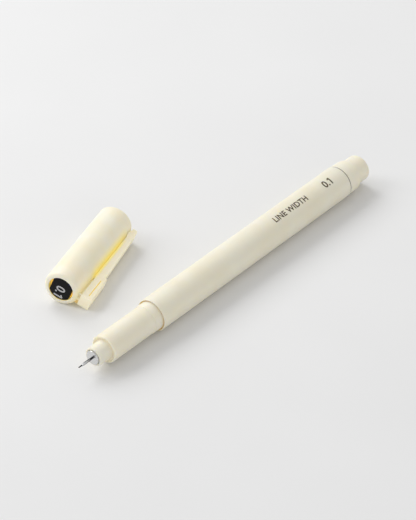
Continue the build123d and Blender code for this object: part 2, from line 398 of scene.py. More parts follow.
@dataclass(frozen=True)
class TurnedSteel(Finish):
    """Stainless steel turned or drawn round the pen's axis.

    The eye sees grey metal with a soft, slightly streaky reflection. The rings are
    drawn coarser than a real tool's 0.02 mm feed, so that they show close up.
    """

    dark: str
    roughness: float = 0.3
    smoother: float = 0.08
    rougher: float = 0.12
    ring_mm: float = 0.12
    ring_stretch: float = 0.08
    speck_mm: float = 0.3
    # Colour of a painted dark reflection along the flanks; empty for none.
    painted_edge_reflection: str = ""

    def shade(self, tree: bpy.types.NodeTree, place: bpy.types.NodeSocket) -> bpy.types.Node:
        """Builds the metal's nodes.

        Args:
            tree: The node tree that gets the nodes.
            place: Object coordinates.

        Returns:
            The shader.
        """
        round_axis = add_node(
            tree,
            "ShaderNodeMapping",
            inputs={"Vector": place, "Scale": (1.0, self.ring_stretch, self.ring_stretch)},
        ).outputs["Vector"]
        rings = add_node(
            tree,
            "ShaderNodeTexNoise",
            inputs={"Vector": round_axis, "Scale": 1 / (self.ring_mm * MM), "Detail": 2.0},
        ).outputs["Fac"]
        specks = add_node(
            tree,
            "ShaderNodeTexNoise",
            inputs={"Vector": place, "Scale": 1 / (self.speck_mm * MM), "Detail": 4.0},
        ).outputs["Fac"]
        tone = add_node(
            tree,
            "ShaderNodeValToRGB",
            inputs={"Fac": specks},
            gradient=Gradient(0.25, srgb(self.dark), 0.7, srgb(self.colour), Blend.SMOOTH),
        ).outputs["Color"]
        gloss = add_node(
            tree,
            "ShaderNodeMapRange",
            inputs={
                "Value": rings,
                "From Min": 0.3,
                "From Max": 0.7,
                "To Min": self.roughness - self.smoother,
                "To Max": self.roughness + self.rougher,
            },
        )
        marks = add_node(
            tree,
            "ShaderNodeBump",
            inputs={"Height": rings, "Strength": 0.25, "Distance": 0.01 * MM},
        )
        # Painted reflection: where the surface turns away from the viewer it darkens towards this colour, standing
        # in for the dark reflection along a thin tube's flanks.
        if self.painted_edge_reflection:
            facing = add_node(tree, "ShaderNodeLayerWeight", inputs={"Blend": 0.5})
            edges = add_node(
                tree,
                "ShaderNodeValToRGB",
                inputs={"Fac": facing.outputs["Facing"]},
                gradient=Gradient(0.15, srgb("#000000"), 0.6, srgb("#ffffff"), Blend.SMOOTH),
            )
            tone = add_node(
                tree,
                "ShaderNodeMix",
                {"data_type": "RGBA"},
                {MIX_FACTOR: edges.outputs["Color"], MIX_FIRST: tone, MIX_SECOND: srgb(self.painted_edge_reflection)},
            ).outputs[MIX_COLOUR]
        return add_node(
            tree,
            "ShaderNodeBsdfPrincipled",
            inputs={
                "Base Color": tone,
                "Metallic": 1.0,
                "Roughness": gloss.outputs["Result"],
                "Normal": marks.outputs["Normal"],
            },
        )


@dataclass(frozen=True)
class PadInk(Finish):
    """Pad-printed ink: the eye sees a thin, matt, slightly uneven film of colour."""

    worn: str
    roughness: float = 0.6
    specular: float = 0.15
    speck_mm: float = 0.25

    def shade(self, tree: bpy.types.NodeTree, place: bpy.types.NodeSocket) -> bpy.types.Node:
        """Builds the ink's nodes.

        Args:
            tree: The node tree that gets the nodes.
            place: Object coordinates.

        Returns:
            The shader.
        """
        specks = add_node(
            tree,
            "ShaderNodeTexNoise",
            inputs={"Vector": place, "Scale": 1 / (self.speck_mm * MM), "Detail": 3.0},
        ).outputs["Fac"]
        tone = add_node(
            tree,
            "ShaderNodeValToRGB",
            inputs={"Fac": specks},
            gradient=Gradient(0.45, srgb(self.colour), 0.8, srgb(self.worn)),
        )
        film = add_node(
            tree,
            "ShaderNodeBump",
            inputs={"Height": specks, "Strength": 0.2, "Distance": 0.01 * MM},
        )
        return add_node(
            tree,
            "ShaderNodeBsdfPrincipled",
            inputs={
                "Base Color": tone.outputs["Color"],
                "Roughness": self.roughness,
                "Specular IOR Level": self.specular,
                "Normal": film.outputs["Normal"],
            },
        )


@dataclass(frozen=True)
class Fibre(Finish):
    """Bonded polyester fibre: the eye sees matt strands drawn lengthways.

    The strands are drawn coarser than the real 0.02 mm, so that they show close up.
    """

    dark: str
    roughness: float = 0.85
    strand_mm: float = 0.08
    strand_stretch: float = 0.03

    def shade(self, tree: bpy.types.NodeTree, place: bpy.types.NodeSocket) -> bpy.types.Node:
        """Builds the fibre's nodes.

        Args:
            tree: The node tree that gets the nodes.
            place: Object coordinates.

        Returns:
            The shader.
        """
        drawn = add_node(
            tree,
            "ShaderNodeMapping",
            inputs={"Vector": place, "Scale": (self.strand_stretch, 1.0, 1.0)},
        )
        strands = add_node(
            tree,
            "ShaderNodeTexNoise",
            inputs={
                "Vector": drawn.outputs["Vector"],
                "Scale": 1 / (self.strand_mm * MM),
                "Detail": 4.0,
                "Roughness": 0.7,
            },
        ).outputs["Fac"]
        tone = add_node(
            tree,
            "ShaderNodeValToRGB",
            inputs={"Fac": strands},
            gradient=Gradient(0.35, srgb(self.dark), 0.65, srgb(self.colour)),
        )
        relief = add_node(
            tree,
            "ShaderNodeBump",
            inputs={"Height": strands, "Strength": 0.6, "Distance": 0.04 * MM},
        )
        return add_node(
            tree,
            "ShaderNodeBsdfPrincipled",
            inputs={
                "Base Color": tone.outputs["Color"],
                "Roughness": self.roughness,
                "Normal": relief.outputs["Normal"],
            },
        )


@dataclass(frozen=True)
class PaintedBoard(Finish):
    """Matt painted board: the eye sees an even pale grey with the faintest mottle."""

    dark: str
    roughness: float = 0.75
    mottle_mm: float = 83.3

    def shade(self, tree: bpy.types.NodeTree, place: bpy.types.NodeSocket) -> bpy.types.Node:
        """Builds the board's nodes.

        Args:
            tree: The node tree that gets the nodes.
            place: Object coordinates.

        Returns:
            The shader.
        """
        mottle = add_node(
            tree,
            "ShaderNodeTexNoise",
            inputs={"Vector": place, "Scale": 1 / (self.mottle_mm * MM), "Detail": 3.0},
        )
        tone = add_node(
            tree,
            "ShaderNodeValToRGB",
            inputs={"Fac": mottle.outputs["Fac"]},
            gradient=Gradient(0.3, srgb(self.dark), 0.7, srgb(self.colour)),
        )
        return add_node(
            tree,
            "ShaderNodeBsdfPrincipled",
            inputs={"Base Color": tone.outputs["Color"], "Roughness": self.roughness},
        )


# Polypropylene mouldings: a warm cream with a soft sheen. The cap and the clip also carry a faint painted glow
# (emission) that stands in for light passing through their thin walls.
CREAM = MouldedPlastic("cream_polypropylene", "#f4eedb", "#f2ead3")
CAP_CREAM = MouldedPlastic("cap_cream_polypropylene", "#f5f0df", "#f4ebd0", painted_glow=0.03)
CLIP_CREAM = MouldedPlastic("clip_cream_polypropylene", "#f4edd6", "#f2e9cc", painted_glow=0.15)

# Painted light on the same plastic: warmer colours with emission stand in for light that passes through thin walls
# and comes out amber, and for shade in grooves and pockets.
PAINTED_AMBER_GLOW = MouldedPlastic(
    "painted_amber_glow_polypropylene", "#e8cc69", "#dfc058", roughness=0.5, scatter=0.2, painted_glow=0.45
)
PAINTED_PALE_AMBER_GLOW = MouldedPlastic(
    "painted_pale_amber_glow_polypropylene", "#f0e3ae", "#eadb9c", roughness=0.5, scatter=0.2, painted_glow=0.22
)
# Painted shade and glow in the barrel's front groove and the lower cap pocket: a darker amber that emits faintly.
RECESS_PAINTED_AMBER_GLOW = MouldedPlastic("recess_painted_amber_glow", "#dcc182", "#d2b372", roughness=0.55, painted_glow=0.2)
# Painted glow in the moat round the nose's root, lightening its shade.
NOSE_MOAT_PAINTED_GLOW = MouldedPlastic(
    "nose_moat_painted_glow_cream", "#efe8d4", "#e9dfc4", roughness=0.55, scatter=0.3, painted_glow=0.08
)
# Painted shade in the upper cap pocket: a darker tan with a faint glow.
POCKET_PAINTED_SHADE = MouldedPlastic(
    "pocket_painted_shade_cream", "#ded3b0", "#d6caa2", roughness=0.55, scatter=0.2, painted_glow=0.1
)

# Inside: waxy, unpigmented mouldings, and a smooth film round the reservoir.
NATURAL = MouldedPlastic("natural_polyethylene", "#eadfae", "#e3d39a", roughness=0.5, scatter=0.6)
INNER_CAP = MouldedPlastic("inner_cap_polyethylene", "#ece4c6", "#e6dcb8")
FILM = MouldedPlastic("reservoir_film", "#d9dde0", "#cfd4d8", roughness=0.2, scatter=0.1)

# The dark pieces: matt, and no light soaks into them.
BADGE = MouldedPlastic(
    "badge_black_polystyrene", "#0b0b0d", "#111113", roughness=0.55, scatter=0.0, specular=0.18
)
# A dark brown ring in the seam between the barrel and the tail plug.
SEAM = MouldedPlastic(
    "seam_ring_brown", "#6e5836", "#654f2e", roughness=0.6, scatter=0.0, specular=0.1
)
NIB_ACRYLIC = MouldedPlastic(
    "ground_acrylic_nib", "#1d1d20", "#29292c", roughness=0.55, grain_mm=0.06, scatter=0.0
)

# Metal: a bright turned bush, and a needle with a painted dark reflection along its flanks and painted shade on
# its root.
FERRULE = TurnedSteel("turned_stainless", "#e4e4e3", "#d0d0d0", roughness=0.2)
NEEDLE = TurnedSteel(
    "drawn_needle_steel", "#f6f6f6", "#e4e4e5", roughness=0.2, ring_mm=0.3, painted_edge_reflection="#3c3c3e"
)
# Painted shade: the needle's root is dark steel.
NEEDLE_ROOT_PAINTED_SHADE = TurnedSteel("needle_root_painted_shade", "#4a4a4b", "#333335", ring_mm=0.3)

# Print, ink-soaked fibre and the table.
BARREL_INK = PadInk("warm_brown_print", "#45330f", "#574522")
BADGE_INK = PadInk("light_grey_print", "#c2c2c4", "#a9a9ac")
RESERVOIR = Fibre("inked_reservoir_fibre", "#3a3a46", "#14141a")
WICK = Fibre("drawn_wick_fibre", "#d8d4c6", "#a8a290")
BOARD = PaintedBoard("pale_board", "#ececec", "#e9e9e9")


# --------------------------------------------------------------------------- meshes


@dataclass(frozen=True)
class Corner:
    """One corner of a turned profile: place along the axis, radius, and edge rounding."""

    along: float
    radius: float
    round: float = 0.0
    segments: int = 5


def turned(corners: list[Corner], closed: bool) -> bmesh.types.BMesh:
    """Rounds a profile's corners and spins it once round the X axis.

    Args:
        corners: The profile, in millimetres.
        closed: True for a ring-shaped section, False for one that ends on the axis.

    Returns:
        A closed shell with its faces pointing out.
    """
    bm = bmesh.new()
    verts = [bm.verts.new((c.along * MM, c.radius * MM, 0)) for c in corners]
    pairs = list(zip(verts, verts[1:]))
    if closed:
        pairs.append((verts[-1], verts[0]))
    for pair in pairs:
        bm.edges.new(pair)
    for vert, corner in zip(verts, corners):
        if corner.round > 0:
            round_corner(bm, vert, corner.round, corner.segments)
    bmesh.ops.spin(
        bm,
        geom=bm.verts[:] + bm.edges[:],
        cent=(0, 0, 0),
        axis=(1, 0, 0),
        dvec=(0, 0, 0),
        angle=math.tau,
        steps=TURN_STEPS,
        use_merge=True,
        use_duplicate=False,
    )
    bmesh.ops.remove_doubles(bm, verts=bm.verts, dist=MERGE_DISTANCE)
    bmesh.ops.recalc_face_normals(bm, faces=bm.faces)
    return bm


def round_corner(
    bm: bmesh.types.BMesh, vert: bmesh.types.BMVert, reach: float, segments: int
) -> None:
    """Rounds one corner of a flat outline.

    Args:
        bm: The mesh that holds the outline.
        vert: The corner.
        reach: How far from the corner the rounding starts, in millimetres.
        segments: How many edges it has.
    """
    bmesh.ops.bevel(
        bm,
        geom=[vert],
        offset=reach * MM,
        offset_type="OFFSET",
        segments=segments,
        profile=0.5,
        affect="VERTICES",
        material=-1,
    )


def round_edges(
    bm: bmesh.types.BMesh, edges: list[bmesh.types.BMEdge], reach: float, segments: int
) -> None:
    """Rounds edges of a solid.

    Args:
        bm: The solid.
        edges: The edges to round.
        reach: How far from each edge the rounding starts, in millimetres.
        segments: How many strips each rounding has.
    """
    bmesh.ops.bevel(
        bm,
        geom=edges,
        offset=reach * MM,
        segments=segments,
        profile=0.5,
        affect="EDGES",
        material=-1,
    )


def block(start: Triple, size: Triple) -> bmesh.types.BMesh:
    """Makes a rectangular block, centred across the cap's clip side.

    Args:
        start: Its place along, its foot, and the middle of its width, in millimetres.
        size: Its length, height and width, in millimetres.

    Returns:
        The block.
    """
    bm = bmesh.new()
    bmesh.ops.create_cube(bm, size=MM)
    bmesh.ops.scale(bm, vec=size, verts=bm.verts)
    middle = Vector((start[0] + size[0] / 2, start[1] + size[1] / 2, start[2]))
    bmesh.ops.translate(bm, vec=middle * MM, verts=bm.verts)
    return bm


def thicken(bm: bmesh.types.BMesh, height: float) -> None:
    """Gives a flat shape a thickness along Z.

    Args:
        bm: The flat shape.
        height: Its thickness, in millimetres.
    """
    grown = bmesh.ops.extrude_face_region(bm, geom=bm.faces[:])
    top = [part for part in grown["geom"] if isinstance(part, bmesh.types.BMVert)]
    bmesh.ops.translate(bm, vec=(0, 0, height * MM), verts=top)
    bmesh.ops.recalc_face_normals(bm, faces=bm.faces)


def cut(
    bm: bmesh.types.BMesh, point: Triple, normal: Triple, clear_outer: bool = False
) -> None:
    """Cuts every face that a plane crosses.

    Args:
        bm: The mesh to cut.
        point: A point on the plane, in millimetres.
        normal: The plane's normal.
        clear_outer: True to throw away what lies on the normal's side.
    """
    bmesh.ops.bisect_plane(
        bm,
        geom=bm.verts[:] + bm.edges[:] + bm.faces[:],
        plane_co=Vector(point) * MM,
        plane_no=normal,
        clear_outer=clear_outer,
    )


def piece(
    name: str,
    bm: bmesh.types.BMesh,
    finish: bpy.types.Material,
    body: str,
    stands_for: str = "",
    place: Matrix | None = None,
    extra: tuple[bpy.types.Material, ...] = (),
) -> bpy.types.Object:
    """Turns a bmesh into a finished piece that rides on a body.

    Args:
        name: The piece's name.
        bm: Its shape, freed afterwards.
        finish: Its material.
        body: The CAD body that carries it.
        stands_for: The CAD node it replaces, if it replaces one.
        place: Where the shape goes, when it is built in its own frame.
        extra: More materials, for faces with material index 1 and up.

    Returns:
        The new object, at the origin with its place in its mesh.
    """
    if place is not None:
        bmesh.ops.transform(bm, matrix=place, verts=bm.verts)
    for face in bm.faces:
        face.smooth = True
    for edge in bm.edges:
        if edge.is_manifold and edge.calc_face_angle() > math.radians(SHARP_DEG):
            edge.smooth = False
    mesh = bpy.data.meshes.new(name)
    bm.to_mesh(mesh)
    bm.free()
    for material in (finish, *extra):
        mesh.materials.append(material)
    obj = bpy.data.objects.new(name, mesh)
    bpy.context.scene.collection.objects.link(obj)
    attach(obj, body)
    if stands_for:
        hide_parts(stands_for)
    log.info("%s: %d faces on %s", name, len(mesh.polygons), body)
    return obj


def dress(node: str, finish: bpy.types.Material) -> None:
    """Gives a CAD node its material.

    Args:
        node: The node's name.
        finish: The material it gets.
    """
    obj = frame["nodes"][node]
    obj.data.materials.clear()
    obj.data.materials.append(finish)
    log.info("%s: dressed in %s", node, finish.name)


@dataclass(frozen=True)
class Lettering:
    """Flat letters centred on the origin, reading along X with their tops towards Y.

    `bold` is how much each stroke is thickened, as a share of the font's size, and a
    spacing of one is the font's own. The last figure one gets a slanting flag.
    """

    words: str
    height: float
    bold: float
    relief: float
    spacing: float = 1.0
    capital_share: float = 0.729
    curve_steps: int = 6
    strips: int = 14
    flag_share: float = 0.32
    flag_slope_deg: float = 38.0
    flag_stroke: float = 0.45
    flag_back: float = 0.3
    flag_drop: float = 0.95

    def build(self) -> bmesh.types.BMesh:
        """Makes the letters.

        Returns:
            Closed, thin letters lying in the XY plane.
        """
        bm = self.flat_letters()
        low = Vector([min(v.co[i] for v in bm.verts) for i in range(3)])
        high = Vector([max(v.co[i] for v in bm.verts) for i in range(3)])
        bmesh.ops.translate(bm, vec=-(low + high) / 2, verts=bm.verts)
        if self.words.endswith("1"):
            self.add_flag(bm, (high - low) / 2, (high.y - low.y) * self.flag_share)
        reach = (high.y - low.y) / 2 / MM
        for i in range(1, self.strips):
            cut(bm, (0, -reach + 2 * reach * i / self.strips, 0), (0, 1, 0))
        thicken(bm, self.relief)
        return bm

    def flat_letters(self) -> bmesh.types.BMesh:
        """Fills the font's outlines.

        Returns:
            Flat faces, where the font puts them.
        """
        curve = bpy.data.curves.new("letters", "FONT")
        curve.body = self.words
        curve.size = self.height * MM / self.capital_share
        curve.space_character = self.spacing
        curve.offset = self.bold * curve.size
        curve.resolution_u = self.curve_steps
        holder = bpy.data.objects.new("letters", curve)
        bpy.context.scene.collection.objects.link(holder)
        bpy.context.view_layer.update()
        graph = bpy.context.evaluated_depsgraph_get()
        mesh = bpy.data.meshes.new_from_object(holder.evaluated_get(graph))
        bm = bmesh.new()
        bm.from_mesh(mesh)
        bpy.data.objects.remove(holder)
        bpy.data.curves.remove(curve)
        bpy.data.meshes.remove(mesh)
        bmesh.ops.remove_doubles(bm, verts=bm.verts, dist=MERGE_DISTANCE)
        return bm

    def add_flag(self, bm: bmesh.types.BMesh, corner: Vector, length: float) -> None:
        """Adds the slanting flag at the top of a figure one.

        Args:
            bm: Flat letters centred on the origin.
            corner: The top right corner of the figure, in metres.
            length: The flag's length, in metres.
        """
        stroke = length * self.flag_stroke
        turn = Matrix.Rotation(math.radians(self.flag_slope_deg), 3, "Z")
        back, drop = stroke + length * self.flag_back, stroke * self.flag_drop
        flag = bmesh.ops.create_grid(bm, x_segments=1, y_segments=1, size=0.5)["verts"]
        bmesh.ops.scale(bm, vec=(length, stroke, 1), verts=flag)
        bmesh.ops.rotate(bm, matrix=turn, verts=flag)
        bmesh.ops.translate(bm, vec=(corner.x - back, corner.y - drop, 0), verts=flag)


# --------------------------------------------------------------------------- the pen


@dataclass
class Barrel:
    """The straight tube, its front joint groove in painted amber glow, and its print."""

    radius: float = field(default_factory=lambda: span("barrel", ACROSS)[1])
    front: float = field(default_factory=lambda: span("barrel", ALONG)[0])
    tail: float = field(default_factory=lambda: span("barrel", ALONG)[1])
    bore: float = 4.3
    joint_radius: float = 5.08
    joint_depth: float = 0.5
    front_round: float = 0.4
    tail_round: float = 0.1
    print_turn_deg: float = 21.0
    words_centre: float = 18.9
    words_height: float = 2.04
    number_centre: float = 37.3
    number_height: float = 2.6
    print_bold: float = 0.014
    print_relief: float = 0.008
    print_spacing: float = 1.04

    def build(self) -> None:
        """Makes the tube and the print on it."""
        joint = self.front + self.joint_depth
        tube = turned(
            [
                Corner(self.front, self.joint_radius, round=0.06, segments=2),
                Corner(self.front, self.radius, round=self.front_round),
                Corner(self.tail, self.radius, round=self.tail_round, segments=3),
                Corner(self.tail, self.bore),
                Corner(joint, self.bore),
                Corner(joint, self.joint_radius),
            ],
            closed=True,
        )
        # Painted shade and glow: the sunk ring at the barrel's front takes a darker amber that emits faintly.
        for face in tube.faces:
            centre = face.calc_center_median() / MM
            reach = math.hypot(centre.y, centre.z)
            if centre.x < joint + SLACK and reach < self.joint_radius - SLACK:
                face.material_index = 1
        ink = BARREL_INK.build()
        cream, groove_painted_glow = CREAM.build(), RECESS_PAINTED_AMBER_GLOW.build()
        piece("barrel_tube", tube, cream, "pen", "barrel", extra=(groove_painted_glow,))
        self.wrap("barrel_print_words", "LINE WIDTH", self.words_centre, self.words_height, ink)
        self.wrap("barrel_print_number", "0.1", self.number_centre, self.number_height, ink)

    def wrap(
        self, name: str, words: str, centre: float, height: float, ink: bpy.types.Material
    ) -> None:
        """Wraps one line of print round the barrel.

        Args:
            name: The piece's name.
            words: What it says.
            centre: Where its middle lies along the barrel.
            height: Height of its capitals.
            ink: Its material.
        """
        letters = Lettering(words, height, self.print_bold, self.print_relief, self.print_spacing)
        bm = letters.build()
        for vert in bm.verts:
            angle = math.radians(self.print_turn_deg) - vert.co.y / (self.radius * MM)
            reach = self.radius * MM + vert.co.z
            along = vert.co.x + centre * MM
            vert.co = (along, -reach * math.sin(angle), reach * math.cos(angle))
        piece(name, bm, ink, "pen")


@dataclass
class Section:
    """The grip ahead of the barrel, with its snap collar and stepped nose."""

    nose: float = field(default_factory=lambda: span("front_section", ALONG)[0])
    step: float = field(default_factory=lambda: span("barrel", ALONG)[0])
    overlap: float = 0.3
    radius: float = 4.58
    edge: float = 0.42
    collar: float = 4.7
    collar_length: float = 3.0
    collar_slope: float = 0.06
    nose_length: float = 4.75
    nose_base: float = 3.22
    nose_tip: float = 3.1
    nose_round: float = 0.55
    nose_root_round: float = 0.15
    bore: float = 2.35
    bore_depth: float = 0.6
    lip: float = 0.08
    lip_depth: float = 0.12
    moat: float = 0.45
    moat_rim: float = 4.0
    moat_slope: float = 0.1

    def build(self) -> None:
        """Makes the section's outer shell, closed behind the barrel's end."""
        shoulder = self.nose + self.nose_length
        floor = shoulder + self.moat
        collar = self.step - self.collar_length
        shell = turned(
            [
                Corner(self.nose + self.bore_depth, self.bore),
                Corner(self.nose + self.lip_depth, self.bore + self.lip, round=0.05, segments=2),
                Corner(self.nose, self.bore + 2 * self.lip, round=0.05, segments=2),
                Corner(self.nose, self.nose_tip, round=self.nose_round, segments=6),
                Corner(floor, self.nose_base, round=self.nose_root_round, segments=3),
                Corner(floor, self.moat_rim - self.moat_slope, round=0.1, segments=3),
                Corner(shoulder, self.moat_rim, round=0.16, segments=4),
                Corner(shoulder, self.radius, round=self.edge, segments=7),
                Corner(collar - self.collar_slope, self.radius),
                Corner(collar, self.collar, round=0.04, segments=2),
                Corner(self.step + self.overlap, self.collar),
                Corner(self.step + self.overlap, self.bore),
            ],
            closed=True,
        )
        # Painted glow: the sunk moat round the nose's root takes a slightly darker cream with a faint glow,
        # lightening its shade.
        for face in shell.faces:
            centre = face.calc_center_median() / MM
            reach = math.hypot(centre.y, centre.z)
            sunk = centre.x > shoulder + self.moat / 2
            if sunk and self.bore < reach < self.moat_rim + SLACK:
                face.material_index = 1
        cream, groove_painted_glow = CREAM.build(), NOSE_MOAT_PAINTED_GLOW.build()
        slot, node = "section_cream", "front_section"
        piece("section_grip", shell, cream, "pen", node, extra=(groove_painted_glow,))


@dataclass
class Point:
    """The metal nib holder, the needle tube and the drawing nib."""

    nose: float = field(default_factory=lambda: span("front_section", ALONG)[0])
    tube_end: float = field(default_factory=lambda: span("needle_tube", ALONG)[0])
    nib_end: float = field(default_factory=lambda: span("nib", ALONG)[0])
    holder: float = 2.34
    holder_depth: float = 0.5
    dome: float = 0.4
    dome_round: float = 0.14
    tube: float = 0.41
    tube_lip: float = 0.01
    tube_lip_depth: float = 0.3
    crimp: float = 0.27
    crimp_length: float = 0.55
    # The needle's root band, which carries painted shade: its radius, length, the slope into it, and how far it
    # sits inside the holder's face.
    painted_dark_root: float = 0.36
    painted_dark_root_length: float = 1.2
    painted_dark_root_slope: float = 0.1
    painted_dark_root_sunk: float = 0.05
    nib: float = 0.21
    nib_taper: float = 0.75
    nib_sunk: float = 0.4

    def build(self) -> None:
        """Makes the three metal and acrylic pieces."""
        face_at = self.nose - self.dome
        holder = turned(
            [
                Corner(face_at, 0.0),
                Corner(face_at, self.holder, round=self.dome_round),
                Corner(self.nose + self.holder_depth, self.holder),
                Corner(self.nose + self.holder_depth, 0.0),
            ],
            closed=False,
        )
        piece("nib_holder_bush", holder, FERRULE.build(), "pen", "nib_holder")
        self.build_needle(face_at + self.painted_dark_root_sunk)
        nib = turned(
            [
                Corner(self.nib_end, 0.0),
                Corner(self.nib_end, self.nib * self.nib_taper, round=0.06, segments=4),
                Corner(self.tube_end, self.nib),
                Corner(self.tube_end + self.nib_sunk, self.nib),
                Corner(self.tube_end + self.nib_sunk, 0.0),
            ],
            closed=False,
        )
        piece("nib_point", nib, NIB_ACRYLIC.build(), "pen", "nib")

    def build_needle(self, root: float) -> None:
        """Makes the crimped needle tube, with painted shade on its root.

        Args:
            root: Where the tube ends, just inside the holder's face.
        """
        painted_dark_root_end = root - self.painted_dark_root_length
        tube = turned(
            [
                Corner(self.tube_end + self.tube_lip_depth, self.nib),
                Corner(self.tube_end, self.nib + self.tube_lip),
                Corner(self.tube_end, self.crimp, round=0.04, segments=3),
                Corner(self.tube_end + self.crimp_length, self.tube, round=0.2, segments=4),
                Corner(painted_dark_root_end - self.painted_dark_root_slope, self.tube),
                Corner(painted_dark_root_end, self.painted_dark_root),
                Corner(root, self.painted_dark_root),
                Corner(root, self.nib),
            ],
            closed=True,
        )
        # Painted shade: the band next to the holder takes the dark steel.
        for face in tube.faces:
            if face.calc_center_median().x > painted_dark_root_end * MM:
                face.material_index = 1
        steel, painted_dark_root = NEEDLE.build(), NEEDLE_ROOT_PAINTED_SHADE.build()
        piece("needle_pipe", tube, steel, "pen", "needle_tube", extra=(painted_dark_root,))


@dataclass
class Tail:
    """The collar and the post that carries the cap in use."""

    start: float = field(default_factory=lambda: span("barrel", ALONG)[1])
    end: float = field(default_factory=lambda: span("tail_plug", ALONG)[1])
    overlap: float = 0.2
    seam: float = 0.3
    seam_radius: float = 5.05
    ring: float = 5.28
    ring_gap: float = 0.02
    ring_sunk: float = 0.2
    collar_length: float = 5.5
    collar: float = 5.3
    collar_end: float = 5.1
    post: float = 4.35
    post_round: float = 0.75
    post_foot: float = 0.12
    post_foot_length: float = 0.15

    def build(self) -> None:
        """Makes the plug's visible part and the dark ring in the seam before it."""
        shoulder = self.start + self.collar_length
        seam_end = self.start + self.seam
        plug = turned(
            [
                Corner(self.start - self.overlap, 0.0),
                Corner(self.start - self.overlap, self.seam_radius),
                Corner(seam_end, self.seam_radius),
                Corner(seam_end, self.collar, round=0.08, segments=3),
                Corner(shoulder, self.collar_end, round=0.4, segments=6),
                Corner(shoulder, self.post + self.post_foot, round=0.1, segments=3),
                Corner(shoulder + self.post_foot_length, self.post, round=0.05, segments=2),
                Corner(self.end, self.post, round=self.post_round, segments=8),
                Corner(self.end, 0.0),
            ],
            closed=False,
        )
        piece("tail_post_plug", plug, CREAM.build(), "pen", "tail_plug")
        ring_start, ring_end = self.start + self.ring_gap, seam_end - self.ring_gap
        inside = self.seam_radius - self.ring_sunk
        ring = turned(
            [
                Corner(ring_start, inside),
                Corner(ring_start, self.ring, round=0.04, segments=2),
                Corner(ring_end, self.ring, round=0.04, segments=2),
                Corner(ring_end, inside),
            ],
            closed=True,
        )
        piece("tail_seam_ring", ring, SEAM.build(), "pen")


@dataclass
class InkSupply:
    """The closed-in pieces that hold and feed the ink."""

    def build(self) -> None:
        """Dresses the CAD nodes inside the barrel."""
        dress("ink_reservoir", RESERVOIR.build())
        dress("reservoir_film", FILM.build())
        dress("feed_wick", WICK.build())
        dress("wick_sleeve", NATURAL.build())


# --------------------------------------------------------------------------- the cap


